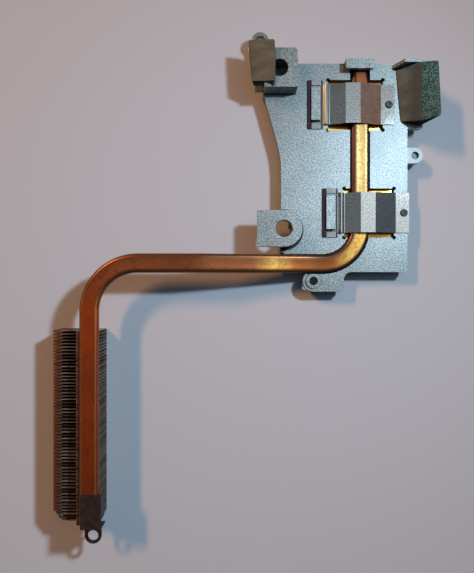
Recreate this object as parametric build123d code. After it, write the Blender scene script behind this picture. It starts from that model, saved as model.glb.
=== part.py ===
from build123d import *
import os

# Laptop heat sink: a cast carrier plate, a flattened heat pipe held on two contact blocks by
# spring clips, and a stack of folded fins at the pipe's far end. Millimetres, +Z up.
# The origin is the centre of the elbow block's contact face, on the plane that the blocks and
# the fins stand on. +X runs across the plate away from the fins, +Y towards the pipe's tip.

# Carrier plate
plate_underside = 3.5
plate_thickness = 2.5
plate_east_x = 15.9
plate_south_y = -24.4
plate_north_y = 61.8
plate_waist_x = -36.4
waist_top_y = 23.2
waist_bottom_y = -15.5
waist_round = 40.0
plate_west_x = -43.6
flank_top_y = 49.0
south_west_x = -27.0
plate_corner_round = 1.2
cast_root = 1.25

# Ledge and stop wall for the right gasket
ledge_reach = 6.4
ledge_south_y = 35.0
stop_wall_thickness = 1.3
stop_wall_height = 6.0
stop_wall_length = 8.5
stop_wall_slope = 3.2
stop_wall_setback = 1.0

# Raised screw ear, hollow below, with the low arm and ring lug beside it
ear_east_x = -30.4
ear_south_y = 49.1
ear_north_y = 64.7
ear_top = 13.0
ear_foot = 0.8
ear_wall = 2.2
ear_hole_radius = 3.5
ear_hole_x = -37.6
ear_hole_y = 56.8
ear_corner_cut = 1.0
arm_reach = 3.4
arm_south_y = 50.9
ring_lug_x = -45.0
ring_lug_y = 71.3
ring_lug_radius = 3.5
ring_lug_hole_radius = 2.1

# Raised D-shaped screw tab
tab_west_x = -46.5
tab_hole_x = -35.7
tab_hole_y = -7.1
tab_half_width = 7.3
tab_top = 12.0
tab_thickness = 2.5
tab_hole_radius = 3.5
tab_driver_gap = 0.8

# South lug and east lug
south_lug_x = -23.0
south_lug_y = -28.1
south_lug_radius = 4.4
south_lug_east_x = -10.4
south_lug_sweep = 3.2
south_lug_hole_radius = 1.8
south_boss_radius = 3.1
south_boss_height = 0.5
east_lug_x = 19.1
east_lug_y = 23.8
east_lug_radius = 3.2
east_lug_hole_radius = 1.6

# Heat pipe: a round pipe pressed flat, with its lane on the plate, a cross run that climbs, and its fin lane
pipe_width = 7.7
pipe_thickness = 3.0
pipe_sink = 2.0
pipe_lane_x = -3.7
pipe_cross_y = -21.1
pipe_fin_x = -113.2
pipe_end_y = -124.5
tip_elbow_radius = 15.5
fin_elbow_radius = 19.2
rise_setback = 0.5
rise_lead = 3.4
rise_run = 46.0
rise_bend_radius = 34.0
taper_start_y = 53.6
tip_end_y = 59.6
tip_width = 5.8
tip_thickness = 2.0
pinch_length = 2.2
groove_side_gap = 0.3

# Hook over the pipe's tip
tip_hook_width = 11.2
tip_hook_offset = -0.9
tip_hook_overhang = 1.9
tip_hook_post = 2.0
tip_hook_end_gap = 0.6
tip_hook_roof_gap = 0.8
tip_hook_roof = 1.7

# Contact blocks and the windows that they stand in
elbow_block_width = 20.0
elbow_block_depth = 19.6
tip_block_width = 22.0
tip_block_depth = 20.0
tip_block_x = -5.6
tip_block_y = 44.7
block_edge_cut = 0.5
window_gap = 0.35
window_relief_radius = 0.8

# Spring clips: lengths run from the foot of the left slope
clip_sheet = 0.4
clip_width = 16.4
clip_left_run = 6.0
clip_crown = 6.0
clip_right_run = 9.0
clip_flange = 5.5
clip_rib_length = 3.1
clip_rib_crest = 0.62
clip_rib_foot = 0.31
clip_rib_height = 0.7
clip_bend_radius = 0.35
clip_pipe_gap = 0.35
loop_length = 6.2
loop_width = 20.0
loop_bar = 1.7
loop_inner_bar = 0.85
loop_side_bar = 2.0
tip_clip_shift = -12.5
elbow_clip_shift = -6.35

# Cast hooks that hold the clips' loops
hook_gap = 0.35
hook_height = 1.9
hook_length = 13.6
hook_nose = 0.65
hook_nose_gap = 0.25

# Clip rivets
rivet_from_flange_end = 2.2
rivet_shank_radius = 0.8
rivet_hole_gap = 0.05
rivet_head_radius = 1.5
rivet_head_height = 0.5
rivet_head_cut = 0.25
rivet_dimple_radius = 0.75
rivet_dimple_depth = 0.4
rivet_tail_radius = 1.3
rivet_tail_height = 0.5

# Fin stack
fin_count = 59
fin_pitch = 1.327
fin_sheet = 0.25
fin_height = 9.6
fin_north_y = -48.2
fin_west_reach = 15.9
fin_east_inset = 0.9
fin_band = 3.3
fin_tooth = 0.6
saddle_rise = 2.4
saddle_ledge = 1.3
saddle_collar = 1.2
notch_side_gap = 0.1
fin_corner_fins = 3
fin_corner_step = 1.05

# End bracket
bracket_sheet = 0.5
bracket_west_inset = 0.8
bracket_east_reach = 1.35
bracket_length = 13.8
bracket_skirt = 4.5
bracket_skirt_length = 10.2
bracket_lug_offset = 0.4
bracket_lug_reach = 5.1
bracket_lug_radius = 3.4
bracket_lug_hole_radius = 2.1

# Gaskets
left_gasket_height = 2.2
left_gasket_overhang = 3.2
left_gasket_drop = 3.6
left_gasket_lip = 1.6
left_gasket_hole_gap = 0.4
left_gasket_south_y = 50.0
left_gasket_north_y = 66.5
left_gasket_taper = 1.5
right_gasket_west_x = 11.6
right_gasket_base = 9.6
right_gasket_ridge_lean = 7.4
right_gasket_ridge_height = 7.5
right_gasket_edge_lean = 13.6
right_gasket_edge_height = 10.0
right_gasket_south_y = 37.0
right_gasket_wall_gap = 0.3

# Levels and places that follow from the sizes above
plate_top = plate_underside + plate_thickness
pipe_bottom = plate_top - pipe_sink
pipe_middle = pipe_bottom + pipe_thickness / 2
pipe_top = pipe_bottom + pipe_thickness
pipe_half_flat = (pipe_width - pipe_thickness) / 2
fin_bed = fin_height + saddle_rise
fin_pipe_middle = fin_bed + pipe_thickness / 2
rise_start_x = pipe_lane_x - tip_elbow_radius - rise_setback
rise_foot_x = rise_start_x - rise_lead
rise_head_x = rise_foot_x - rise_run
rise_end_x = rise_head_x - rise_lead
clip_foot_top = plate_top + clip_sheet
clip_slopes = clip_left_run + clip_crown + clip_right_run
clip_flange_end = clip_slopes + clip_flange
rivet_offset = clip_flange_end - rivet_from_flange_end
tip_clip_x = pipe_lane_x + tip_clip_shift
elbow_clip_x = pipe_lane_x + elbow_clip_shift
clip_places = [(tip_clip_x, tip_block_y), (elbow_clip_x, 0.0)]
rivet_places = [(x + rivet_offset, y) for x, y in clip_places]
ledge_x = plate_east_x + ledge_reach
arm_west_x = plate_west_x - arm_reach
stop_wall_south_y = plate_north_y - stop_wall_setback - stop_wall_thickness
fin_west_x = pipe_fin_x - fin_west_reach
fin_east_x = pipe_fin_x + pipe_width / 2 - fin_east_inset
fin_south_y = fin_north_y - (fin_count - 1) * fin_pitch - fin_sheet
notch_west_x = pipe_fin_x - pipe_width / 2 - notch_side_gap
saddle_west_x = notch_west_x - saddle_ledge
saddle_top = fin_bed + saddle_collar


def slab(x0, x1, y0, y1, z0, z1):
    """A box given by its limits."""
    middle = Pos((x0 + x1) / 2, (y0 + y1) / 2, (z0 + z1) / 2)
    return middle * Box(x1 - x0, y1 - y0, z1 - z0)


def post(x, y, radius, z0, z1):
    """An upright cylinder given by its axis and its two levels."""
    return Pos(x, y, (z0 + z1) / 2) * Cylinder(radius, z1 - z0)


def lane_path():
    """The pipe's centreline in plan on the plate, from the start of its taper to the foot of its climb."""
    return FilletPolyline(
        (pipe_lane_x, taper_start_y),
        (pipe_lane_x, pipe_cross_y),
        (rise_start_x, pipe_cross_y),
        radius=tip_elbow_radius,
    )


def rise_path():
    """The pipe's centreline seen from the south, where it climbs from the plate to the fins' level."""
    return FilletPolyline(
        (rise_start_x, pipe_middle),
        (rise_foot_x, pipe_middle),
        (rise_head_x, fin_pipe_middle),
        (rise_end_x, fin_pipe_middle),
        radius=rise_bend_radius,
    )


def fin_path():
    """The pipe's centreline in plan from the head of its climb to its far end."""
    return FilletPolyline(
        (rise_end_x, pipe_cross_y),
        (pipe_fin_x, pipe_cross_y),
        (pipe_fin_x, pipe_end_y),
        radius=fin_elbow_radius,
    )


def clip_crown_rise():
    """How far the crown stands above the clip's feet for its slopes to clear the pipe's shoulders."""
    shoulder = pipe_top + clip_pipe_gap + clip_sheet - clip_foot_top
    rises = [shoulder]
    for shift in (tip_clip_shift, elbow_clip_shift):
        from_left_foot = -shift - pipe_half_flat
        from_right_foot = clip_slopes + shift - pipe_half_flat
        rises.append(shoulder * clip_left_run / min(from_left_foot, clip_left_run))
        rises.append(shoulder * clip_right_run / min(from_right_foot, clip_right_run))
    return max(rises)


def plate_body():
    """The flat casting with its ledge and lugs, before anything is raised on it or cut from it."""
    outline = make_face(
        Polyline(
            (plate_west_x, plate_north_y),
            (plate_east_x, plate_north_y),
            (plate_east_x, plate_south_y),
            (south_west_x, plate_south_y),
            (plate_waist_x, waist_bottom_y),
            (plate_waist_x, waist_top_y),
            (plate_west_x, flank_top_y),
            close=True,
        )
    )
    waist = outline.vertices().sort_by_distance((plate_waist_x, waist_top_y))[0]
    outline = fillet(waist, waist_round)
    south_lug_bottom_y = south_lug_y - south_lug_radius
    lug_tab_width = south_lug_east_x - south_lug_x
    lug_tab_depth = plate_south_y - south_lug_bottom_y
    lug_tab_middle = Pos((south_lug_x + south_lug_east_x) / 2, (plate_south_y + south_lug_bottom_y) / 2)
    outline += lug_tab_middle * Rectangle(lug_tab_width, lug_tab_depth)
    outline += Pos(south_lug_x, south_lug_y) * Circle(south_lug_radius)
    ledge_depth = plate_north_y - ledge_south_y
    ledge_middle = Pos(plate_east_x + ledge_reach / 2, plate_north_y - ledge_depth / 2)
    outline += ledge_middle * Rectangle(ledge_reach, ledge_depth)
    lug_reach = east_lug_x - plate_east_x
    outline += Pos(plate_east_x + lug_reach / 2, east_lug_y) * Rectangle(lug_reach, 2 * east_lug_radius)
    outline += Pos(east_lug_x, east_lug_y) * Circle(east_lug_radius)
    inner_corner = outline.vertices().sort_by_distance((south_lug_east_x, plate_south_y))[0]
    outline = fillet(inner_corner, south_lug_sweep)
    corners = [
        (plate_east_x, plate_south_y),
        (south_lug_east_x, south_lug_bottom_y),
        (ledge_x, ledge_south_y),
        (ledge_x, plate_north_y),
    ]
    for corner in corners:
        vertex = outline.vertices().sort_by_distance(corner)[0]
        outline = fillet(vertex, plate_corner_round)
    return Pos(0, 0, plate_underside) * extrude(outline, plate_thickness)


def screw_ear():
    """The raised hollow ear with its low arm and the ring lug at the arm's end."""
    shape = Polyline(
        (plate_west_x, ear_south_y),
        (ear_east_x, ear_south_y),
        (ear_east_x, ear_north_y - ear_corner_cut),
        (ear_east_x - ear_corner_cut, ear_north_y),
        (plate_west_x, ear_north_y),
        close=True,
    )
    ear = Pos(0, 0, ear_foot) * extrude(make_face(shape), ear_top - ear_foot)
    ear += slab(arm_west_x, plate_west_x + ear_wall, arm_south_y, ring_lug_y, plate_underside, plate_top)
    return ear + post(ring_lug_x, ring_lug_y, ring_lug_radius, plate_underside, plate_top)


def ear_hollow():
    """The space below the ear's roof, open downwards."""
    return slab(
        plate_west_x + ear_wall,
        ear_east_x - ear_wall,
        ear_south_y + ear_wall,
        ear_north_y - ear_wall,
        ear_foot,
        ear_top - ear_wall,
    )


def screw_tab():
    """The raised D-shaped tab: a half-round boss on the plate and a shelf beyond its edge."""
    round_part = Pos(tab_hole_x, tab_hole_y) * Circle(tab_half_width)
    shelf_length = tab_hole_x - tab_west_x
    shelf = Pos(tab_west_x + shelf_length / 2, tab_hole_y) * Rectangle(shelf_length, 2 * tab_half_width)
    roof = Pos(0, 0, tab_top - tab_thickness) * extrude(round_part + shelf, tab_thickness)
    boss = post(tab_hole_x, tab_hole_y, tab_half_width, plate_underside, tab_top)
    off_plate = slab(
        tab_west_x,
        plate_waist_x,
        tab_hole_y - tab_half_width,
        tab_hole_y + tab_half_width,
        plate_underside,
        tab_top - tab_thickness,
    )
    boss -= off_plate
    way_radius = tab_hole_radius + tab_driver_gap
    boss -= post(tab_hole_x, tab_hole_y, way_radius, plate_underside, tab_top - tab_thickness)
    return roof + boss


def tip_hook():
    """The upright at the plate's north edge whose roof reaches over the pipe's tip."""
    middle_x = pipe_lane_x + tip_hook_offset
    x0 = middle_x - tip_hook_width / 2
    x1 = middle_x + tip_hook_width / 2
    post_y = tip_end_y + tip_hook_end_gap
    roof_underside = pipe_top + tip_hook_roof_gap
    roof_top = roof_underside + tip_hook_roof
    upright = slab(x0, x1, post_y, post_y + tip_hook_post, plate_underside, roof_top)
    roof = slab(x0, x1, post_y - tip_hook_overhang, post_y, roof_underside, roof_top)
    return upright + roof


def stop_wall():
    """The low wall behind the right gasket, with a sloping west end."""
    east_x = ledge_x - plate_corner_round
    crest_x = east_x - stop_wall_length
    side = Polyline(
        (crest_x - stop_wall_slope, plate_top - cast_root),
        (crest_x - stop_wall_slope, plate_top),
        (crest_x, plate_top + stop_wall_height),
        (east_x, plate_top + stop_wall_height),
        (east_x, plate_top - cast_root),
        close=True,
    )
    north = Plane(origin=(0, stop_wall_south_y + stop_wall_thickness, 0), x_dir=(1, 0, 0), z_dir=(0, -1, 0))
    return extrude(north * make_face(side), stop_wall_thickness)


def clip_hook(clip_x, clip_y):
    """The cast hook that stands in a clip's loop, with a nose over the loop's end bar."""
    window_west_x = clip_x - clip_rib_length - loop_length + loop_bar
    window_east_x = clip_x - clip_rib_length - loop_inner_bar
    y0 = clip_y - hook_length / 2
    y1 = clip_y + hook_length / 2
    root = plate_top - cast_root
    stem = slab(window_west_x + hook_gap, window_east_x - hook_gap, y0, y1, root, plate_top + hook_height)
    nose_underside = clip_foot_top + hook_nose_gap
    nose_west_x = window_west_x + hook_gap - hook_nose
    nose = slab(nose_west_x, window_west_x + hook_gap, y0, y1, nose_underside, plate_top + hook_height)
    return stem + nose


def block_window(x, y, width, depth):
    """The window for a contact block, with a round relief at each corner."""
    half_width = width / 2 + window_gap
    half_depth = depth / 2 + window_gap
    shape = Rectangle(2 * half_width, 2 * half_depth)
    for sx in (-1, 1):
        for sy in (-1, 1):
            shape += Pos(sx * half_width, sy * half_depth) * Circle(window_relief_radius)
    return Pos(x, y, plate_underside) * extrude(shape, plate_thickness)


def pipe_groove():
    """The bed for the pipe in the plate's top face, square-ended past the tip and open at the west edge."""
    half = pipe_width / 2 + groove_side_gap
    lane = Pos(0, 0, pipe_bottom) * extrude(trace(lane_path(), 2 * half), pipe_thickness)
    tip = slab(
        pipe_lane_x - half,
        pipe_lane_x + half,
        taper_start_y,
        tip_end_y + tip_hook_end_gap,
        pipe_bottom,
        pipe_top,
    )
    climb = slab(plate_west_x, rise_start_x, pipe_cross_y - half, pipe_cross_y + half, pipe_bottom, pipe_top)
    return lane + tip + climb


def base_plate():
    """The whole casting."""
    driver_way = post(tab_hole_x, tab_hole_y, tab_hole_radius + tab_driver_gap, plate_underside, plate_top)
    plate = plate_body() - driver_way + screw_ear() + screw_tab() + stop_wall()
    plate += post(south_lug_x, south_lug_y, south_boss_radius, plate_top, plate_top + south_boss_height)
    plate -= ear_hollow()
    plate -= pipe_groove()
    plate += tip_hook()
    for clip_x, clip_y in clip_places:
        plate += clip_hook(clip_x, clip_y)
    plate -= block_window(0, 0, elbow_block_width, elbow_block_depth)
    plate -= block_window(tip_block_x, tip_block_y, tip_block_width, tip_block_depth)
    holes = [
        (ear_hole_x, ear_hole_y, ear_hole_radius),
        (ring_lug_x, ring_lug_y, ring_lug_hole_radius),
        (tab_hole_x, tab_hole_y, tab_hole_radius),
        (south_lug_x, south_lug_y, south_lug_hole_radius),
        (east_lug_x, east_lug_y, east_lug_hole_radius),
    ]
    holes += [(x, y, rivet_shank_radius + rivet_hole_gap) for x, y in rivet_places]
    for x, y, radius in holes:
        plate -= post(x, y, radius, 0, ear_top)
    return plate


def heat_pipe():
    """The flattened pipe swept along its three runs, with its tip tapered and pinched shut."""
    section = SlotOverall(pipe_width, pipe_thickness)
    start = Plane(origin=(pipe_lane_x, taper_start_y, pipe_middle), x_dir=(1, 0, 0), z_dir=(0, -1, 0))
    pipe = sweep(start * section, path=Pos(0, 0, pipe_middle) * lane_path())
    side = Plane(origin=(0, pipe_cross_y, 0), x_dir=(1, 0, 0), z_dir=(0, -1, 0))
    foot = Plane(origin=(rise_start_x, pipe_cross_y, pipe_middle), x_dir=(0, 1, 0), z_dir=(-1, 0, 0))
    pipe += sweep(foot * section, path=side * rise_path())
    head = Plane(origin=(rise_end_x, pipe_cross_y, fin_pipe_middle), x_dir=(0, 1, 0), z_dir=(-1, 0, 0))
    pipe += sweep(head * section, path=Pos(0, 0, fin_pipe_middle) * fin_path())
    pinch_y = tip_end_y - pinch_length
    pinch = Plane(origin=(pipe_lane_x, pinch_y, pipe_middle), x_dir=(1, 0, 0), z_dir=(0, -1, 0))
    tip_section = SlotOverall(tip_width, tip_thickness)
    pipe += loft([pinch * tip_section, start * section])
    return pipe + extrude(pinch * tip_section, -pinch_length)


def contact_block(x, y, width, depth):
    """A copper block from the contact plane up to the pipe, with its lower edges cut."""
    block = slab(x - width / 2, x + width / 2, y - depth / 2, y + depth / 2, 0, pipe_bottom)
    lower_edges = block.faces().sort_by(Axis.Z)[0].edges()
    return chamfer(lower_edges, block_edge_cut)


def spring_clip(clip_x, clip_y):
    """A folded clip: loop, rib, left slope, crown, right slope and riveted flange."""
    rise = clip_crown_rise()
    loop_end = -clip_rib_length - loop_length
    crest_west = -(clip_rib_length + clip_rib_crest) / 2
    crest_east = -(clip_rib_length - clip_rib_crest) / 2
    crown_end = clip_left_run + clip_crown
    line = FilletPolyline(
        (loop_end, 0),
        (clip_rib_foot - clip_rib_length, 0),
        (crest_west, clip_rib_height),
        (crest_east, clip_rib_height),
        (-clip_rib_foot, 0),
        (0, 0),
        (clip_left_run, rise),
        (crown_end, rise),
        (clip_slopes, 0),
        (clip_flange_end, 0),
        radius=[clip_bend_radius] * 4 + [0.0] + [clip_bend_radius] * 3,
    )
    under = Pos(0, -clip_sheet) * line
    ends = [Line(line @ 0, under @ 0), Line(line @ 1, under @ 1)]
    profile = make_face([*line.edges(), *under.edges(), *[end.edge() for end in ends]])
    north = Plane(origin=(clip_x, clip_y + clip_width / 2, clip_foot_top), x_dir=(1, 0, 0), z_dir=(0, -1, 0))
    clip = extrude(north * profile, clip_width)
    loop_west_x = clip_x + loop_end
    loop_east_x = clip_x - clip_rib_length
    half_loop = loop_width / 2
    clip += slab(loop_west_x, loop_east_x, clip_y - half_loop, clip_y + half_loop, plate_top, clip_foot_top)
    half_window = half_loop - loop_side_bar
    clip -= slab(
        loop_west_x + loop_bar,
        loop_east_x - loop_inner_bar,
        clip_y - half_window,
        clip_y + half_window,
        plate_top,
        clip_foot_top,
    )
    hole_radius = rivet_shank_radius + rivet_hole_gap
    return clip - post(clip_x + rivet_offset, clip_y, hole_radius, plate_top, clip_foot_top)


def rivet(x, y):
    """A rivet with a dimpled head on the clip's flange and a flat tail below the plate."""
    shank = post(x, y, rivet_shank_radius, plate_underside - rivet_tail_height, clip_foot_top)
    tail = post(x, y, rivet_tail_radius, plate_underside - rivet_tail_height, plate_underside)
    head_top = clip_foot_top + rivet_head_height
    head = post(x, y, rivet_head_radius, clip_foot_top, head_top)
    rim = head.edges().filter_by(GeomType.CIRCLE).sort_by(Axis.Z)[-1]
    head = chamfer(rim, rivet_head_cut)
    dimple = post(x, y, rivet_dimple_radius, head_top - rivet_dimple_depth, head_top)
    return shank + tail + head - dimple


def fin(number):
    """One folded fin: a web that steps up under the pipe, flanges that reach the next fin, and a tooth."""
    from_south = fin_count - 1 - number
    cut_back = max(0, fin_corner_fins - from_south) * fin_corner_step
    west_x = fin_west_x + cut_back
    north_y = fin_north_y - number * fin_pitch
    web_south_y = north_y - fin_sheet
    side = Polyline(
        (west_x, 0),
        (fin_east_x, 0),
        (fin_east_x, fin_bed),
        (notch_west_x, fin_bed),
        (notch_west_x, saddle_top),
        (saddle_west_x, saddle_top),
        (saddle_west_x, fin_height),
        (west_x, fin_height),
        close=True,
    )
    north = Plane(origin=(0, north_y, 0), x_dir=(1, 0, 0), z_dir=(0, -1, 0))
    web = extrude(north * make_face(side), fin_sheet)
    if from_south == 0:
        return web
    next_y = north_y - fin_pitch
    next_west_x = west_x + (fin_corner_step if from_south <= fin_corner_fins else 0)
    foot = slab(next_west_x, fin_east_x, next_y, web_south_y, 0, fin_sheet)
    tooth_y = web_south_y - fin_tooth
    tooth = slab(next_west_x, west_x + fin_band, tooth_y, web_south_y, fin_height - fin_sheet, fin_height)
    ledge = slab(saddle_west_x, notch_west_x, next_y, web_south_y, saddle_top - fin_sheet, saddle_top)
    bed = slab(notch_west_x, fin_east_x, next_y, web_south_y, fin_bed - fin_sheet, fin_bed)
    return web + foot + tooth + ledge + bed


def end_bracket():
    """The folded sheet over the pipe's far end: a top, an east skirt, a south wall and a ring lug."""
    west_x = pipe_fin_x - pipe_width / 2 + bracket_west_inset
    east_x = pipe_fin_x + pipe_width / 2 + bracket_east_reach
    sheet_bottom = fin_bed + pipe_thickness
    sheet_top = sheet_bottom + bracket_sheet
    south_y = fin_south_y - bracket_sheet
    north_y = south_y + bracket_length
    bracket = slab(west_x, east_x, south_y, north_y, sheet_bottom, sheet_top)
    skirt_south_y = north_y - bracket_skirt_length
    skirt_x = east_x - bracket_sheet
    bracket += slab(skirt_x, east_x, skirt_south_y, north_y, sheet_top - bracket_skirt, sheet_top)
    bracket += slab(west_x, east_x, south_y, fin_south_y, fin_height, sheet_top)
    lug_x = pipe_fin_x + bracket_lug_offset
    lug_y = south_y - bracket_lug_reach
    lug_top = fin_height + bracket_sheet
    neck_west_x = lug_x - bracket_lug_radius
    neck_east_x = lug_x + bracket_lug_radius
    bracket += slab(neck_west_x, neck_east_x, lug_y, south_y, fin_height, lug_top)
    bracket += post(lug_x, lug_y, bracket_lug_radius, fin_height, lug_top)
    return bracket - post(lug_x, lug_y, bracket_lug_hole_radius, fin_height, lug_top)


def left_gasket_end(y, inset):
    """The left gasket's outline at one end: it stands on the arm, hugs the ear and leans outwards."""
    crest = ear_top + left_gasket_height
    shoulder = crest - left_gasket_drop
    east_x = ear_hole_x - ear_hole_radius - left_gasket_hole_gap
    west_x = arm_west_x - left_gasket_overhang + inset
    outline = Polyline(
        (arm_west_x, plate_top),
        (plate_west_x, plate_top),
        (plate_west_x, ear_top),
        (east_x, ear_top),
        (east_x, crest),
        (west_x, shoulder),
        (west_x, shoulder - left_gasket_lip),
        close=True,
    )
    return Plane(origin=(0, y, 0), x_dir=(1, 0, 0), z_dir=(0, -1, 0)) * make_face(outline)


def left_gasket():
    """The foam block beside the ear, a little narrower towards the south."""
    ends = [
        left_gasket_end(left_gasket_north_y, 0.0),
        left_gasket_end(left_gasket_south_y, left_gasket_taper),
    ]
    return loft(ends, ruled=True)


def right_gasket():
    """The foam block on the plate's ledge, leaning outwards under a sloping top."""
    side = Polyline(
        (right_gasket_west_x, plate_top),
        (right_gasket_west_x + right_gasket_base, plate_top),
        (right_gasket_west_x + right_gasket_edge_lean, plate_top + right_gasket_edge_height),
        (right_gasket_west_x + right_gasket_ridge_lean, plate_top + right_gasket_ridge_height),
        close=True,
    )
    north_y = stop_wall_south_y - right_gasket_wall_gap
    north = Plane(origin=(0, north_y, 0), x_dir=(1, 0, 0), z_dir=(0, -1, 0))
    return extrude(north * make_face(side), north_y - right_gasket_south_y)


nodes = {
    "base_plate": base_plate(),
    "heat_pipe": heat_pipe(),
    "elbow_block": contact_block(0, 0, elbow_block_width, elbow_block_depth),
    "tip_block": contact_block(tip_block_x, tip_block_y, tip_block_width, tip_block_depth),
    "tip_clip": spring_clip(*clip_places[0]),
    "elbow_clip": spring_clip(*clip_places[1]),
    "clip_rivets": Compound([rivet(x, y).solid() for x, y in rivet_places]),
    "fin_stack": Compound([fin(number).solid() for number in range(fin_count)]),
    "end_bracket": end_bracket(),
    "left_gasket": left_gasket(),
    "right_gasket": right_gasket(),
}

os.makedirs("parts", exist_ok=True)
for name, shape in nodes.items():
    export_step(shape, f"parts/{name}.step")
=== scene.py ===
"""Dresses the laptop heat sink's CAD nodes, builds its soft gaskets and pipe, and sets the stage."""

import math

import bmesh
import bpy
from bpy.props import FloatProperty, FloatVectorProperty, IntProperty, PointerProperty
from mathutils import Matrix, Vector


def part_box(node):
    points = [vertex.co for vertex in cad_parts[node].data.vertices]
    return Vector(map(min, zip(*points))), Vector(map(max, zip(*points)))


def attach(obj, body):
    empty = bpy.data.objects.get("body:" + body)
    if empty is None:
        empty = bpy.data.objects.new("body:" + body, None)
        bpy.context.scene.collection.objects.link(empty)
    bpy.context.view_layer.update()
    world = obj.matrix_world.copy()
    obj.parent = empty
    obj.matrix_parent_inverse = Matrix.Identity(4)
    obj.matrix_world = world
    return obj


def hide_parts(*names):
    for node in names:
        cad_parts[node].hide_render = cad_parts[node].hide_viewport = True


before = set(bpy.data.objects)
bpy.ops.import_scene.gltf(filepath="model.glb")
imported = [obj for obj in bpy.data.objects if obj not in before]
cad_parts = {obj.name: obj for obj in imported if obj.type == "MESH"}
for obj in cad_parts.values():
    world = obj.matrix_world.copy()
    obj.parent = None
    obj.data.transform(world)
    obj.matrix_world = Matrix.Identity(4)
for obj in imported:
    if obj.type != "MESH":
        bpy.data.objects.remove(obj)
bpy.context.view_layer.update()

bl_info = {
    "name": "Laptop Heat Sink",
    "version": (1, 0, 0),
    "blender": (4, 5, 0),
    "location": "View3D > Sidebar > Heat Sink",
    "description": "Finishes, gaskets and stage for a laptop heat sink",
    "category": "Object",
}

MILLIMETRE = 0.001
PIPE_LOW, PIPE_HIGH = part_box("heat_pipe")

# Corners of the soft pads in millimetres, in turn south-west, south-east, north-east and north-west.
LEFT_PAD_FOOT = ((-48.2, 50.0, 9.8), (-39.4, 48.4, 13.05), (-39.7, 66.9, 13.05), (-47.6, 68.2, 9.0))
LEFT_PAD_HEAD = ((-49.2, 51.7, 12.6), (-39.4, 50.9, 15.2), (-39.3, 67.4, 15.2), (-51.0, 69.0, 12.0))
RIGHT_PAD_FOOT = ((12.3, 37.4, 6.0), (21.4, 35.4, 6.0), (21.2, 59.3, 6.0), (10.3, 59.4, 6.0))
RIGHT_PAD_HEAD = ((19.4, 35.5, 12.0), (26.6, 36.9, 15.6), (25.7, 59.4, 14.8), (18.7, 59.3, 13.9))

# The pads: material slots, the axes of their open ends and of up, how squarely a face looks along an axis,
# where the plain cube's end begins, how fast the crown falls away, and the sunk ends' slope as a share of the
# rounding.
CLOTH, FLANK, FOAM = range(3)
END_AXIS, UP_AXIS = 1, 2
FACING = 0.9
ON_END = 0.999
CROWN_POWER = 4
END_SLOPE = 0.4

# Places of the marks on each finish, in millimetres. Two limits run from none of a mark to all of it, and
# four run from none to all and back to none.
# Painted light: the casting grows brighter towards the south, where the glare lies.
CAST_PAINTED_LIGHT_Y = (45.0, -25.0)
# The east lug, dimmed with painted shade against the glare.
EAST_LUG_X = (15.5, 17.0)
EAST_LUG_Y = (17.0, 19.0, 28.0, 30.0)
# The height below which the ring of painted shade round the tab lies.
TAB_SHADE_Z = (8.0, 7.0)
BLOCK_STAIN_Y = (50.0, 53.0)
# The right pad's flank: painted light on the left fading to painted shade on the right.
FLANK_SHADE_X = (14.0, 16.8)

# The pipe's marks by their place on the part.
# Painted highlights on the pipe at the elbow and on the climb.
ELBOW_HIGHLIGHT_X = (-15.5, -8.5)
CROSS_HIGHLIGHT_X = (-48.0, -41.0, -39.5, -31.0)
CROSS_RUST_X = (-34.0, -28.0, -16.0, -9.0)
LANE_Y = (-12.0, 2.0)
# Painted shade on the left edge of the flat between the clips.
LANE_EDGE_X = (-4.9, -5.6)
LANE_EDGE_Y = (-4.0, 6.0)
TIP_Y = (47.0, 54.0)
RED_RUN_Y = (-20.0, -42.0)
FAR_END_Y = (-60.0, -120.0)
SHADED_SIDE_X = (-30.0, -18.0)
FIN_RUN_Y = (-30.0, -36.0)
FIN_RUN_EAST_X = (-112.2, -111.2, -105.0, -104.0)

# The pipe's marks by their place round its section.
PIPE_FLAT = (4.2, 5.0, 7.2, 7.8)
FIN_RUN_FLAT = (3.7, 4.3, 8.0, 8.6)
# Painted highlight lines along the edges of the flat on the fin run.
FIN_RUN_HIGHLIGHTS = ((3.9, 4.2, 4.4, 4.7), (7.8, 8.1, 8.3, 8.6))

# The fins' marks.
# Painted shade between the fins, deeper below these heights.
FIN_SHADE_Z = (9.5, 7.5)
# The fins' outer edge, browned with painted warm light.
FIN_OUTER_X = (-125.6, -126.2)
FIN_COLLAR_X = (-118.4, -118.0, -116.4, -116.0)
FIN_WEST_X = (-112.0, -113.5)
FIN_EAST_X = (-113.5, -112.0)
FIN_BESIDE_X = (-112.2, -111.8, -110.6, -109.6)

# Marks measured from the tab's rim, and from the foot of a clip's left slope.
# The ring of painted shade on the plate round the tab's foot.
TAB_SHADE_RING = (-0.2, -0.1, 1.1, 1.5)
CLIP_FOLD = (-3.3, -3.1, -0.2, 0.0)
# The loop's bars, laid with painted shade.
CLIP_SHADED_BARS = ((-7.4, -7.7), (-3.8, -3.6, -3.2, -3.1))

# How much painted brown reflection each clip's right slope has, and how dull that share makes its fold.
CLIP_BROWN_REFLECTION = {"tip_clip": 0.9, "elbow_clip": 0.12}
FOLD_ROUGHNESS = 0.32

# The range that holds most of a noise, the openness round a point that counts as a corner, the rays that
# measure it, and the angle that a wave texture turns through in one unit.
NOISE_SPAN = (0.3, 0.7)
CREVICE_SPAN = (0.85, 0.50)
CREVICE_SAMPLES = 8
WAVE_RADIANS = 20.0

# A mix node's colour sockets, by number because their names repeat.
MIX_COLOURS = (6, 7)
MIX_RESULT = 2

# The pipe's rings: steps round its section, fewest on a run, and its section's share at its two rounded ends.
ROUND_STEPS = 10
FLAT_STEPS = 6
FEWEST_RINGS = 2
TIP_SHARES = (0.6, 0.9, 1.0)
FAR_SHARES = (0.75, 0.95, 1.0)

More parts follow.
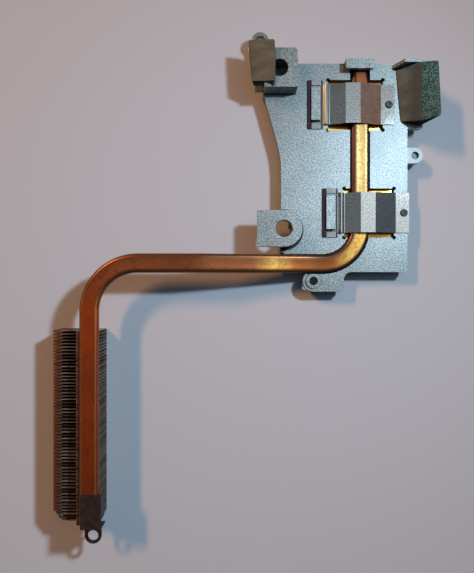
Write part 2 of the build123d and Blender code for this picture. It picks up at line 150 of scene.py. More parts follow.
# Rounded edges of the CAD nodes.
JOIN_GAP = 0.001 * MILLIMETRE
EDGE_SEGMENTS = 2
EDGE_ANGLE = math.radians(40)


def length(name, description, millimetres):
    """A length property whose default is given in millimetres."""
    return FloatProperty(
        name=name, description=description, default=millimetres * MILLIMETRE, unit="LENGTH", precision=5
    )


def colour(name, description, red, green, blue):
    """A colour property whose default is given in linear light."""
    return FloatVectorProperty(
        name=name, description=description, default=(red, green, blue), subtype="COLOR", min=0.0, max=1.0
    )


def place(name, description, x, y, z):
    """A place property in metres."""
    return FloatVectorProperty(
        name=name, description=description, default=(x, y, z), subtype="XYZ", unit="LENGTH"
    )


def power(name, description, watts):
    """A lamp's power."""
    return FloatProperty(name=name, description=description, default=watts, subtype="POWER")


def number(name, description, value):
    """A plain number that is not below 0."""
    return FloatProperty(name=name, description=description, default=value, min=0.0)


def count(name, description, value):
    """A number of divisions."""
    return IntProperty(name=name, description=description, default=value, min=4)


class HEATSINK_PG_metals(bpy.types.PropertyGroup):
    """Colours, grain and marks of the metal pieces."""

    cast_light: colour("Cast light", "Bright grains of the casting", 0.50, 0.54, 0.54)
    cast_dark: colour("Cast dark", "Dark grains of the casting", 0.13, 0.150, 0.155)
    cast_grain: length("Cast grain", "Size of the casting's grain", 0.55)
    cast_cloud: length("Cast cloud", "Size of the casting's soft clouds", 12.1)
    cast_round: length("Cast edge", "Rounding of the casting's edges", 0.18)
    tab_place: place("Tab place", "Axis of the raised tab", -0.0357, -0.0071, 0.0)
    tab_radius: length("Tab radius", "Radius of the raised tab's round end", 7.3)
    clip_foot: length("Clip foot", "Length from the end of a clip's loop to the foot of its left slope", 9.3)
    # Bright copper: the blocks' own colour, and on the pipe the colour of painted highlights.
    copper_light: colour("Copper light", "Rubbed copper", 1.0, 0.58, 0.115)
    copper_lane: colour("Copper lane", "Clean copper between the clips", 0.37, 0.225, 0.073)
    # Painted shade that widens the dark round side onto the left edge of the flat between the clips.
    copper_edge_shade: colour("Copper edge", "Tarnished left edge of the clean copper", 0.15, 0.073, 0.035)
    copper_dark: colour("Copper dark", "Stained copper", 0.46, 0.140, 0.048)
    copper_rust: colour("Copper rust", "Orange-brown copper before the first elbow", 0.43, 0.115, 0.014)
    copper_red: colour("Copper red", "Red-brown copper beside the fins", 0.75, 0.108, 0.018)
    copper_end: colour("Copper end", "Dark red copper at the pipe's far end", 0.52, 0.066, 0.011)
    # Dark copper: the pipe's random dark patches and specks, also laid on its round sides as painted shade.
    copper_patch_and_shade: colour("Copper side", "Dull copper on the pipe's round sides", 0.17, 0.065, 0.028)
    # Painted shade: near-black laid into narrow corners, round the foot of the tab and on the pipe's shaded
    # side.
    painted_shade: colour("Grime", "Dirt in narrow corners", 0.030, 0.030, 0.036)
    steel_light: colour("Steel light", "Bright grains of the clip steel", 0.76, 0.77, 0.75)
    steel_dark: colour("Steel dark", "Dark grains of the clip steel", 0.50, 0.50, 0.49)
    # Painted shade: near-black steel on the loops' bars, which the hooks shade.
    steel_loop_shade: colour("Steel loop", "Dark steel at the loops' bars", 0.090, 0.062, 0.080)
    steel_fold: colour("Steel fold", "Dull steel at the fold of the tip clip", 0.225, 0.255, 0.235)
    # Painted reflection: brown on the right-facing slopes, which mirror the warm light and the brown flank
    # beside them.
    steel_painted_reflection: colour("Steel film", "Brown film on the clips' right slope", 0.25, 0.090, 0.043)
    rivet_light: colour("Rivet light", "Worn face of the rivets", 0.050, 0.051, 0.053)
    rivet_dark: colour("Rivet dark", "Dark face of the rivets", 0.020, 0.020, 0.022)
    fin_light: colour("Fin light", "Fin sheet", 0.56, 0.47, 0.41)
    # Dark fins: dust and each fin's own tone, and lower down between the fins painted shade.
    fin_dark: colour("Fin dark", "Dust and stain on the fins", 0.065, 0.040, 0.028)
    # Brown on the fins: painted warm light at the outer edge, and stain at the collar and beside the pipe.
    fin_stain_and_warm_light: colour("Fin stain", "Brown stain on the fins' outer edge and collar", 0.22, 0.066, 0.018)
    fin_side: colour("Fin side", "Fin sheet on the pipe's open side", 0.46, 0.46, 0.38)
    # Painted reflection: both bracket colours are near-black brown for the dark surroundings that the bracket
    # mirrors.
    bracket_light: colour("Bracket light", "Worn paint of the end bracket", 0.046, 0.027, 0.022)
    bracket_dark_reflection: colour("Bracket dark", "Dark paint of the end bracket", 0.027, 0.014, 0.011)
    bracket_round: length("Bracket edge", "Rounding of the end bracket's edges", 0.1)


class HEATSINK_PG_gaskets(bpy.types.PropertyGroup):
    """Sizes and colours of the two soft gaskets."""

    edge_round: length("Edge", "Rounding of the pads' edges", 0.7)
    crown: length("Crown", "How far each side bulges at its middle", 0.35)
    end_depth: length("End depth", "How far the foam lies inside its sleeve's ends", 0.5)
    sleeve: length("Sleeve", "Width of the sleeve's rim at the ends", 0.25)
    cuts: count("Cuts", "Divisions of each side", 28)
    stitch: length("Stitch", "Pitch of the knitted cloth", 0.65)
    stitch_lift: length("Stitch lift", "Relief of the knitted cloth", 0.2)
    stitch_dye: length("Stitch dye", "Size of the knitted cloth's patches of dye", 3.9)
    weave: length("Weave", "Pitch of the woven cloth", 0.45)
    weave_dye: length("Weave dye", "Size of the woven cloth's patches of dye", 3.6)
    fuzz: length("Fuzz", "Size of the woven cloth's loose fibres", 0.27)
    left_lift: length("Left lift", "Relief of the left cloth", 0.08)
    side_lift: length("Side lift", "Relief of the right pad's flank", 0.05)
    left_light: colour("Left light", "Raised threads of the left cloth", 0.150, 0.125, 0.075)
    left_dark: colour("Left dark", "Sunk threads of the left cloth", 0.045, 0.036, 0.020)
    knit_light: colour("Knit light", "Raised stitches of the right cloth", 0.14, 0.31, 0.25)
    knit_dark: colour("Knit dark", "Ground of the right cloth", 0.007, 0.030, 0.029)
    side_light: colour("Side light", "Threads of the right pad's flank", 0.105, 0.122, 0.104)
    side_dark: colour("Side dark", "Gaps of the right pad's flank", 0.034, 0.038, 0.034)
    pore: length("Pore", "Size of the foam's pores", 0.5)
    pore_depth: length("Pore depth", "Relief of the foam", 0.2)
    # Painted shade: the foam in the pads' open ends is near black for the shade inside them.
    foam_shade_light: colour("Foam light", "Walls of the open foam at the ends", 0.020, 0.024, 0.026)
    foam_shade_dark: colour("Foam dark", "Pores of the open foam at the ends", 0.0080, 0.0096, 0.0104)


class HEATSINK_PG_pipe(bpy.types.PropertyGroup):
    """Sizes of the heat pipe that its box does not give."""

    width: length("Width", "Width of the flattened pipe", 7.7)
    thickness: length("Thickness", "Thickness of the flattened pipe", 3.0)
    cross_y: length("Cross run", "Place of the cross run along Y", -21.1)
    tip_elbow: length("Tip elbow", "Bend radius beside the elbow block", 15.5)
    fin_elbow: length("Fin elbow", "Bend radius before the fins", 19.2)
    rise_setback: length("Rise setback", "Level length from the tip elbow to the foot of the climb", 3.9)
    rise_run: length("Rise run", "Length of the climb in plan", 46.0)
    rise_bend: length("Rise bend", "Length in plan of each bend of the climb", 5.8)
    taper: length("Taper", "Length from full width to the pinched tip", 3.8)
    pinch: length("Pinch", "Length of the pinched tip", 2.2)
    tip_width: length("Tip width", "Width of the pinched tip", 5.8)
    tip_thickness: length("Tip thickness", "Thickness of the pinched tip", 2.0)
    tip_round: length("Tip rounding", "Distance between the rings of the pipe's two rounded ends", 0.3)
    dish: length("Dish", "How far the flat faces sink in the middle", 0.06)
    station_gap: length("Station gap", "Distance between the skin's rings on straight runs", 2.0)
    bend_cuts: count("Bend cuts", "Rings in each elbow", 28)


class HEATSINK_PG_stage(bpy.types.PropertyGroup):
    """Camera, lamps and floor."""

    camera_place: place("Camera", "Place of the camera", -0.0546, -0.0304, 0.188)
    camera_near: length("Camera near", "Nearest distance that the camera sees", 10.0)
    focal_pixels: number("Focal length", "Focal length in pixels of the frame", 440.0)
    frame_pixels: number("Frame height", "Height of the frame in pixels", 573.0)
    floor_colour: colour("Floor", "Pale floor", 0.44, 0.43, 0.47)
    floor_reach: length("Floor reach", "Half width of the floor", 3000.0)
    world_strength: number("World", "Strength of the even light all round", 0.075)
    world_colour: colour("World colour", "Colour of the even light all round", 0.45, 0.76, 1.0)
    warm_colour: colour("Warm lamp", "Colour of the lamp on the left", 1.0, 0.50, 0.20)
    warm_power: power("Warm power", "Power of the lamp on the left", 11.2)
    warm_place: place("Warm place", "Place of the lamp on the left", -0.83, 0.65, 0.75)
    warm_target: place("Warm target", "Point that the lamp on the left faces", -0.83, 0.65, 0.0)
    warm_size: length("Warm width", "Width of the lamp on the left", 130.0)
    warm_length: length("Warm length", "Length of the lamp on the left", 300.0)
    cool_colour: colour("Cool lamp", "Colour of the lamp on the right", 0.65, 0.855, 1.0)
    cool_power: power("Cool power", "Power of the lamp on the right", 11.0)
    cool_place: place("Cool place", "Place of the lamp on the right", 0.089, 0.080, 0.182)
    cool_target: place("Cool target", "Point that the lamp on the right faces", -0.36, -0.30, 0.0)
    cool_size: length("Cool size", "Width of the lamp on the right", 24.0)
    glow_colour: colour("Glow", "Colour of the wide and narrow soft screens", 0.92, 0.98, 1.0)
    wide_place: place("Wide place", "Place of the wide soft screen", 0.050, 0.075, 0.20)
    wide_size: length("Wide size", "Width of the wide soft screen", 170.0)
    wide_power: power("Wide power", "Power of the wide soft screen", 0.038)
    near_place: place("Near place", "Place of the narrow soft screen", 0.078, 0.055, 0.193)
    near_size: length("Near size", "Width of the narrow soft screen", 95.0)
    near_power: power("Near power", "Power of the narrow soft screen", 0.0115)
    left_colour: colour("Left glow", "Colour of the dim screen on the left", 1.0, 0.97, 0.92)
    left_place: place("Left place", "Place of the dim screen on the left", -0.090, 0.075, 0.21)
    left_size: length("Left size", "Width of the dim screen on the left", 160.0)
    left_power: power("Left power", "Power of the dim screen on the left", 0.0095)


class Finish:
    """A material that is being built: its node tree and its main shader."""

    def __init__(self, name, metallic=0.0, roughness=0.5, sheen=0.0):
        self.material = bpy.data.materials.new(name)
        self.material.use_nodes = True
        self.tree = self.material.node_tree
        self.shader = self.tree.nodes["Principled BSDF"]
        self.shader.inputs["Metallic"].default_value = metallic
        self.shader.inputs["Roughness"].default_value = roughness
        self.shader.inputs["Sheen Weight"].default_value = sheen
        self.places = self.node("ShaderNodeTexCoord")

    def node(self, kind, **settings):
        """A new node with its settings."""
        made = self.tree.nodes.new(kind)
        for name, value in settings.items():
            setattr(made, name, value)
        return made

    def feed(self, socket, value):
        """Links an output to a socket, or sets the socket to a constant."""
        if isinstance(value, bpy.types.NodeSocket):
            self.tree.links.new(value, socket)
        else:
            socket.default_value = value

    def noise(self, size, detail=2.0, source="Object", stretch=(1.0, 1.0, 1.0), roughness=0.5):
        """Cloudy noise whose lumps are about the given size, with its coordinates scaled along each axis."""
        mapping = self.node("ShaderNodeMapping")
        self.feed(mapping.inputs["Vector"], self.places.outputs[source])
        mapping.inputs["Scale"].default_value = stretch
        cloud = self.node("ShaderNodeTexNoise")
        cloud.inputs["Scale"].default_value = 1.0 / size
        cloud.inputs["Detail"].default_value = detail
        cloud.inputs["Roughness"].default_value = roughness
        self.feed(cloud.inputs["Vector"], mapping.outputs["Vector"])
        return cloud.outputs["Fac"]

    def cells(self, size):
        """Distance to the nearest of scattered points about the given size apart."""
        spots = self.node("ShaderNodeTexVoronoi")
        spots.inputs["Scale"].default_value = 1.0 / size
        self.feed(spots.inputs["Vector"], self.places.outputs["Object"])
        return spots.outputs["Distance"]

    def bands(self, pitch, direction, distortion):
        """Even bands across one axis."""
        wave = self.node("ShaderNodeTexWave", wave_type="BANDS", bands_direction=direction)
        wave.inputs["Scale"].default_value = 2.0 * math.pi / (WAVE_RADIANS * pitch)
        wave.inputs["Distortion"].default_value = distortion
        wave.inputs["Detail"].default_value = 0.0
        self.feed(wave.inputs["Vector"], self.places.outputs["Object"])
        return wave.outputs["Fac"]

    def axis(self, name, source="Object"):
        """One coordinate by itself."""
        parts = self.node("ShaderNodeSeparateXYZ")
        self.feed(parts.inputs["Vector"], self.places.outputs[source])
        return parts.outputs[name]

    def away(self, spot):
        """Distance in plan from an upright axis."""
        flat = self.node("ShaderNodeVectorMath", operation="MULTIPLY")
        self.feed(flat.inputs[0], self.places.outputs["Object"])
        flat.inputs[1].default_value = (1.0, 1.0, 0.0)
        gap = self.node("ShaderNodeVectorMath", operation="DISTANCE")
        self.feed(gap.inputs[0], flat.outputs["Vector"])
        gap.inputs[1].default_value = spot
        return gap.outputs["Value"]

    def read(self, value, span=NOISE_SPAN, to=(0.0, 1.0)):
        """A value mapped from a span to a range, and held within it."""
        ranged = self.node("ShaderNodeMapRange")
        self.feed(ranged.inputs["Value"], value)
        for name, limit in zip(("From Min", "From Max", "To Min", "To Max"), (*span, *to)):
            ranged.inputs[name].default_value = limit
        return ranged.outputs["Result"]

    def faded(self, mask, to):
        """A mask from 0 to 1 as a range of other values."""
        return self.read(mask, span=(0.0, 1.0), to=to)

    def zone(self, value, limits, start=0.0, to=(0.0, 1.0)):
        """A mark between two or four limits, in millimetres from a start."""
        marks = [start + limit * MILLIMETRE for limit in limits]
        rising = self.read(value, span=marks[:2], to=to)
        if len(marks) == 2:
            return rising
        fading, end = marks[2:]
        return self.maths("MULTIPLY", rising, self.read(value, span=(end, fading)))

    def maths(self, operation, first, second):
        """A sum, product or other simple operation."""
        made = self.node("ShaderNodeMath", operation=operation)
        self.feed(made.inputs[0], first)
        self.feed(made.inputs[1], second)
        return made.outputs["Value"]

    def all_of(self, first, *others):
        """Where several masks all hold: their product."""
        for other in others:
            first = self.maths("MULTIPLY", first, other)
        return first

    def any_of(self, first, *others):
        """Where any of several masks holds: the strongest of them."""
        for other in others:
            first = self.maths("MAXIMUM", first, other)
        return first

    def mixed(self, factor, first, second):
        """A colour between two others."""
        made = self.node("ShaderNodeMix", data_type="RGBA")
        self.feed(made.inputs["Factor"], factor)
        for index, value in zip(MIX_COLOURS, (first, second)):
            value = value if isinstance(value, bpy.types.NodeSocket) else (*value, 1.0)
            self.feed(made.inputs[index], value)
        return made.outputs[MIX_RESULT]

    def coated(self, ground, *coats):
        """A ground colour under coats of other colours, each laid on by its mask."""
        for mask, coat in coats:
            ground = self.mixed(mask, ground, coat)
        return ground

    def crevice(self, reach):
        """How narrow the corner is that a point lies in, from 0 in the open to 1 deep inside."""
        near = self.node("ShaderNodeAmbientOcclusion", samples=CREVICE_SAMPLES)
        near.inputs["Distance"].default_value = reach
        return self.read(near.outputs["AO"], span=CREVICE_SPAN)

    def raised(self, height, depth, strength):
        """Small relief from a height from 0 to 1, of the given depth."""
        bump = self.node("ShaderNodeBump")
        bump.inputs["Strength"].default_value = strength
        bump.inputs["Distance"].default_value = depth
        self.feed(bump.inputs["Height"], height)
        self.feed(self.shader.inputs["Normal"], bump.outputs["Normal"])

    def paint(self, tint, roughness=None):
        """Links the shader's colour, and its roughness where one is given."""
        self.feed(self.shader.inputs["Base Color"], tint)
        if roughness is not None:
            self.feed(self.shader.inputs["Roughness"], roughness)
        return self.material


def cast_finish(metals):
    """Grainy blasted aluminium with soft clouds, with painted light to the south and painted shade on the
    east lug, in corners and round the tab.
    """
    finish = Finish("cast_aluminium", metallic=1.0)
    grain = finish.noise(size=metals.cast_grain, roughness=0.6)
    clouds = finish.noise(size=metals.cast_cloud, detail=3.0)
    along = finish.axis("Y")
    # Painted shade that dims the glare on the east lug.
    lug_shade = finish.all_of(finish.zone(finish.axis("X"), EAST_LUG_X), finish.zone(along, EAST_LUG_Y))
    # The bright grains, raised by painted light towards the south and lowered by painted shade on the east
    # lug.
    bright = finish.all_of(
        finish.read(grain, span=(0.32, 0.68)),
        finish.read(clouds, span=(0.3, 0.65), to=(0.75, 1.0)),
        finish.zone(along, CAST_PAINTED_LIGHT_Y, to=(0.80, 1.18)),
        finish.faded(lug_shade, to=(1.0, 0.65)),
    )
    # Painted shade: a dark ring on the plate round the foot of the raised tab.
    tab_shade = finish.all_of(
        finish.zone(finish.away(metals.tab_place), TAB_SHADE_RING, start=metals.tab_radius),
        finish.zone(finish.axis("Z"), TAB_SHADE_Z),
    )
    # Painted shade in the casting's corners, by how enclosed each point is, joined with the ring round the
    # tab.
    darkened = finish.any_of(finish.crevice(reach=1.1 * MILLIMETRE), tab_shade)
    tint = finish.coated(metals.cast_dark, (bright, metals.cast_light), (darkened, metals.painted_shade))
    finish.raised(grain, depth=0.018 * MILLIMETRE, strength=0.7)
    return finish.paint(tint, finish.read(grain, to=(0.48, 0.56)))


def pipe_sides(finish, metals, tint):
    """The pipe's colour with painted shade on its round sides, and painted highlight lines beside its flat
    along the fins.
    """
    across, round_skin = finish.axis("X"), finish.axis("Y", source="UV")
    on_fins = finish.zone(finish.axis("Y"), FIN_RUN_Y)
    flat = finish.any_of(
        finish.all_of(on_fins, finish.zone(round_skin, FIN_RUN_FLAT)), finish.zone(round_skin, PIPE_FLAT)
    )
    east = finish.all_of(on_fins, finish.zone(across, FIN_RUN_EAST_X))
    # Painted shade on the pipe's round sides, lighter on the open east side along the fins.
    sides = finish.all_of(finish.maths("SUBTRACT", 1.0, flat), finish.faded(east, to=(0.92, 0.45)))
    shaded = finish.all_of(sides, finish.zone(across, SHADED_SIDE_X, to=(0.0, 0.65)))
    # Painted highlight lines beside the flat along the fins.
    highlight_lines = finish.any_of(*[finish.zone(round_skin, ridge) for ridge in FIN_RUN_HIGHLIGHTS])
    return finish.coated(
        tint,
        (sides, metals.copper_patch_and_shade),
        (shaded, metals.painted_shade),
        (finish.faded(finish.all_of(highlight_lines, on_fins), to=(0.0, 0.3)), metals.copper_light),
    )


def pipe_finish(metals):
    """Drawn copper with fine streaks along it, painted highlights at the elbow and on the climb, and stained
    redder towards the fins.
    """
    finish = Finish("copper_pipe", metallic=0.8)
    streaks = finish.noise(size=0.5 * MILLIMETRE, detail=3.0, source="UV", stretch=(0.03, 1.0, 1.0))
    stains = finish.noise(
        size=9.0 * MILLIMETRE, detail=4.0, source="UV", stretch=(0.5, 1.0, 1.0), roughness=0.6
    )
    specks = finish.noise(size=0.8 * MILLIMETRE)
    flecks = finish.noise(size=2.0 * MILLIMETRE, detail=4.0, roughness=0.7)
    patches = finish.noise(size=3.2 * MILLIMETRE, detail=4.0, roughness=0.65)
    across, along = finish.axis("X"), finish.axis("Y")
    mottle = finish.all_of(finish.read(stains, span=(0.40, 0.62)), finish.read(streaks, to=(0.5, 1.0)))
    # Painted highlights: bright copper patches at the elbow and at the start of the climb, broken by mottle
    # and flecks.
    highlight_places = finish.any_of(finish.zone(across, ELBOW_HIGHLIGHT_X), finish.zone(across, CROSS_HIGHLIGHT_X))
    rubbed = finish.all_of(
        highlight_places,
        finish.faded(mottle, to=(1.0, 0.55)),
        finish.read(flecks, span=(0.36, 0.54), to=(0.55, 1.0)),
    )
    worn = finish.any_of(mottle, finish.read(patches, span=(0.50, 0.66)))
    # Painted shade on the left edge of the flat between the clips.
    lane_edge_shade = finish.all_of(finish.zone(along, LANE_EDGE_Y), finish.zone(across, LANE_EDGE_X))
    tint = finish.coated(
        metals.copper_dark,
        (finish.zone(across, CROSS_RUST_X), metals.copper_rust),
        (rubbed, metals.copper_light),
        (finish.zone(along, LANE_Y), metals.copper_lane),
        (finish.zone(along, TIP_Y), metals.copper_dark),
        (finish.zone(along, RED_RUN_Y), metals.copper_red),
        (finish.zone(along, FAR_END_Y), metals.copper_end),
        (finish.all_of(worn, finish.faded(highlight_places, to=(0.5, 0.12))), metals.copper_patch_and_shade),
        (finish.read(specks, span=(0.50, 0.64), to=(0.0, 0.5)), metals.copper_patch_and_shade),
        (lane_edge_shade, metals.copper_edge_shade),
    )
    finish.raised(finish.maths("ADD", streaks, specks), depth=0.016 * MILLIMETRE, strength=0.5)
    return finish.paint(pipe_sides(finish, metals, tint), finish.read(specks, to=(0.30, 0.42)))


def block_finish(metals):
    """Milled copper with fine tool lines, stained beyond the tip clip."""
    finish = Finish("copper_block", metallic=1.0)
    lines = finish.noise(size=0.4 * MILLIMETRE, stretch=(0.05, 1.0, 1.0))
    stains = finish.noise(size=6.0 * MILLIMETRE, detail=3.0)
    stained = finish.any_of(
        finish.read(stains, span=(0.4, 0.7)), finish.zone(finish.axis("Y"), BLOCK_STAIN_Y)
    )
    tint = finish.mixed(stained, metals.copper_light, metals.copper_dark)
    finish.raised(lines, depth=0.02 * MILLIMETRE, strength=0.6)
    return finish.paint(tint, finish.read(lines, to=(0.22, 0.36)))


def steel_finish(metals, name, foot_x, brown_reflection):
    """Rolled spring steel, with painted shade on the loop's bars and in corners, dull at the fold, and a
    painted brown reflection on its right slope.
    """
    finish = Finish(name, metallic=1.0)
    grain = finish.noise(size=0.5 * MILLIMETRE)
    lines = finish.noise(size=0.4 * MILLIMETRE, stretch=(1.0, 0.05, 1.0))
    blotches = finish.noise(size=3.0 * MILLIMETRE, detail=3.0)
    across = finish.axis("X")
    bright = finish.all_of(
        finish.read(grain, span=(0.35, 0.6)), finish.read(lines, span=(0.3, 0.6), to=(0.8, 1.0))
    )
    # Painted reflection: brown, less metallic steel where a slope faces right.
    reflection_mask = finish.all_of(
        finish.read(finish.axis("X", source="Normal"), span=(0.06, 0.14)),
        brown_reflection,
        finish.read(blotches, span=(0.35, 0.65), to=(0.8, 1.0)),
    )
    fold = finish.zone(across, CLIP_FOLD, start=foot_x)
    # Painted shade on the loop's bars.
    bars = finish.any_of(*[finish.zone(across, bar, start=foot_x) for bar in CLIP_SHADED_BARS])
    tint = finish.coated(
        metals.steel_dark,
        (bright, metals.steel_light),
        (reflection_mask, metals.steel_painted_reflection),
        (finish.all_of(fold, brown_reflection), metals.steel_fold),
        (bars, metals.steel_loop_shade),
        # Painted shade in the clip's corners.
        (finish.crevice(reach=1.0 * MILLIMETRE), metals.painted_shade),
    )
    dull = finish.all_of(fold, FOLD_ROUGHNESS * brown_reflection)
    finish.feed(finish.shader.inputs["Metallic"], finish.faded(reflection_mask, to=(1.0, 0.35)))
    finish.raised(grain, depth=0.006 * MILLIMETRE, strength=0.5)
    return finish.paint(tint, finish.any_of(finish.read(grain, to=(0.08, 0.13)), dull))


def rivet_finish(metals):
    """Darker worn steel, with painted shade in its corners."""
    finish = Finish("rivet_metal", metallic=1.0)
    specks = finish.noise(size=0.5 * MILLIMETRE, detail=3.0)
    tint = finish.coated(
        metals.rivet_dark,
        (finish.read(specks), metals.rivet_light),
        # Painted shade in the rivet's corners.
        (finish.crevice(reach=0.8 * MILLIMETRE), metals.painted_shade),
    )
    finish.raised(specks, depth=0.03 * MILLIMETRE, strength=0.5)
    return finish.paint(tint, finish.read(specks, to=(0.3, 0.5)))


def fin_finish(metals):
    """Thin fins, each of its own brightness, browned with painted warm light at the outer edge and stained at
    the collar and by the pipe, and west of the pipe dusty, with painted shade lower down.
    """
    finish = Finish("fin_metal", metallic=0.8)
    dust = finish.noise(size=1.5 * MILLIMETRE, detail=3.0)
    by_fin = finish.noise(size=1.2 * MILLIMETRE, detail=1.0, stretch=(0.02, 1.0, 0.02))
    dull_fin = finish.read(by_fin, span=(0.40, 0.60), to=(0.95, 0.0))
    across = finish.axis("X")
    # Painted shade lower down between the fins.
    deep = finish.zone(finish.axis("Z"), FIN_SHADE_Z)
    # West of the pipe: dust, each fin's own tone and the painted shade lower down.
    darkened = finish.all_of(
        finish.any_of(finish.read(dust, span=(0.45, 0.75)), deep, dull_fin), finish.zone(across, FIN_WEST_X)
    )
    east_side = finish.mixed(finish.faded(dull_fin, to=(0.0, 0.7)), metals.fin_side, metals.fin_dark)
    # Painted warm light at the outer edge, and stain at the collar and beside the pipe.
    stain = finish.any_of(
        finish.zone(across, FIN_OUTER_X),
        finish.zone(across, FIN_COLLAR_X),
        finish.zone(across, FIN_BESIDE_X, to=(0.0, 0.6)),
    )
    tint = finish.coated(
        metals.fin_light,
        (darkened, metals.fin_dark),
        (finish.zone(across, FIN_EAST_X), east_side),
        (finish.faded(stain, to=(0.0, 0.85)), metals.fin_stain_and_warm_light),
    )
    return finish.paint(tint, finish.read(dust, to=(0.36, 0.55)))


def bracket_finish(metals):
    """Near-black sheet with rubbed patches, its dark brown a painted dark reflection."""
    finish = Finish("bracket_metal", metallic=0.2)
    rubbed = finish.noise(size=2.5 * MILLIMETRE, detail=4.0, roughness=0.6)
    specks = finish.noise(size=0.4 * MILLIMETRE)
    tint = finish.mixed(finish.read(rubbed, span=(0.4, 0.7)), metals.bracket_dark_reflection, metals.bracket_light)
    finish.raised(specks, depth=0.02 * MILLIMETRE, strength=0.5)
    return finish.paint(tint, finish.read(rubbed, to=(0.38, 0.52)))


def knit_finish(gaskets):
    """Knitted cloth of small round stitches on a dark ground."""
    finish = Finish("right_gasket_cloth", roughness=0.8, sheen=0.15)
    stitches = finish.read(finish.cells(gaskets.stitch), span=(0.65, 0.2))
    rows = finish.bands(gaskets.stitch, "Y", distortion=2.0)
    dye = finish.noise(size=gaskets.stitch_dye, detail=3.0)
    lit = finish.all_of(
        stitches, finish.read(rows, span=(0.0, 0.7), to=(0.35, 1.0)), finish.read(dye, to=(0.45, 1.0))
    )
    finish.raised(stitches, depth=gaskets.stitch_lift, strength=0.8)
    return finish.paint(finish.mixed(lit, gaskets.knit_dark, gaskets.knit_light))


def cloth_finish(gaskets, name, light, dark, lift, shade_x=None):
    """Cloth of crossed threads with uneven dye; where two limits are given, painted light on the left that
    fades to painted shade on the right.
    """
    finish = Finish(name, roughness=0.8, sheen=0.25)
    bands = {direction: finish.bands(gaskets.weave, direction, distortion=1.0) for direction in "XYZ"}
    warp = finish.maths("ADD", bands["X"], bands["Z"])
    threads = finish.all_of(finish.read(warp, span=(0.0, 2.0), to=(0.6, 1.0)), bands["Y"])
    dye = finish.noise(size=gaskets.weave_dye, detail=3.0, stretch=(0.45, 1.0, 0.6))
    fuzz = finish.noise(size=gaskets.fuzz)
    lit = finish.maths(
        "ADD", finish.read(threads, span=(0.0, 0.6), to=(0.0, 0.5)), finish.read(fuzz, to=(0.0, 0.5))
    )
    lit = finish.all_of(lit, finish.read(dye, span=(0.34, 0.66), to=(0.35, 1.25)))
    # Painted light on the left of the flank, fading to painted shade on its right.
    if shade_x:
        lit = finish.all_of(lit, finish.zone(finish.axis("X"), shade_x, to=(1.3, 0.1)))
    finish.raised(finish.maths("ADD", threads, fuzz), depth=lift, strength=0.8)
    return finish.paint(finish.mixed(lit, dark, light))


def foam_finish(gaskets):
    """Open-celled foam, near black as painted shade inside the pads' open ends."""
    finish = Finish("gasket_foam_shade", roughness=0.9)
    pores = finish.cells(gaskets.pore)
    finish.raised(pores, depth=gaskets.pore_depth, strength=0.8)
    return finish.paint(finish.mixed(pores, gaskets.foam_shade_dark, gaskets.foam_shade_light))


def dress(node_name, material, edge=0.0):
    """Gives a CAD node its finish, and rounds its edges a little where an edge width is given."""
    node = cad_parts[node_name]
    node.data.materials.clear()
    node.data.materials.append(material)
    if edge:
        weld = node.modifiers.new("joined", "WELD")
        weld.merge_threshold = JOIN_GAP
        bevel = node.modifiers.new("soft_edges", "BEVEL")
        bevel.width = edge
        bevel.segments = EDGE_SEGMENTS
        bevel.limit_method = "ANGLE"
        bevel.angle_limit = EDGE_ANGLE
        bevel.harden_normals = True


def add_piece(name, mesh, materials, slot, *replaced):
    """A mesh as a piece of the heat sink, with its materials, in place of the CAD nodes it stands for."""
    for material in materials:
        mesh.materials.append(material)
    piece = bpy.data.objects.new(name, mesh)
    bpy.context.scene.collection.objects.link(piece)
    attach(piece, "root")
    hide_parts(*replaced)
    return piece


def slot_section(width, thickness, dish):
    """Points round a flattened tube's section, as pairs across and up."""
    radius = thickness / 2
    flat = width / 2 - radius
    points = []
    for side in (1, -1):
        for step in range(ROUND_STEPS + 1):
            angle = math.pi * (step / ROUND_STEPS - 0.5)
            points.append((side * (flat + radius * math.cos(angle)), side * radius * math.sin(angle)))
        for step in range(1, FLAT_STEPS):
            along = step / FLAT_STEPS
            sink = dish * math.sin(math.pi * along)
            points.append((side * flat * (1 - 2 * along), side * (radius - sink)))
    return points


def climb_height(pipe, along):
    """Height gained at a distance in plan past the foot of the climb, with a soft bend at foot and head."""
    rise = PIPE_HIGH.z - PIPE_LOW.z - pipe.thickness
    slope = rise / pipe.rise_run
    half_bend = pipe.rise_bend / 2

    def eased(past_knee):
        if past_knee <= -half_bend:
            return 0.0
        if past_knee >= half_bend:
            return past_knee
        return (past_knee + half_bend) ** 2 / (4 * half_bend)

    return slope * (eased(along) - eased(along - pipe.rise_run))


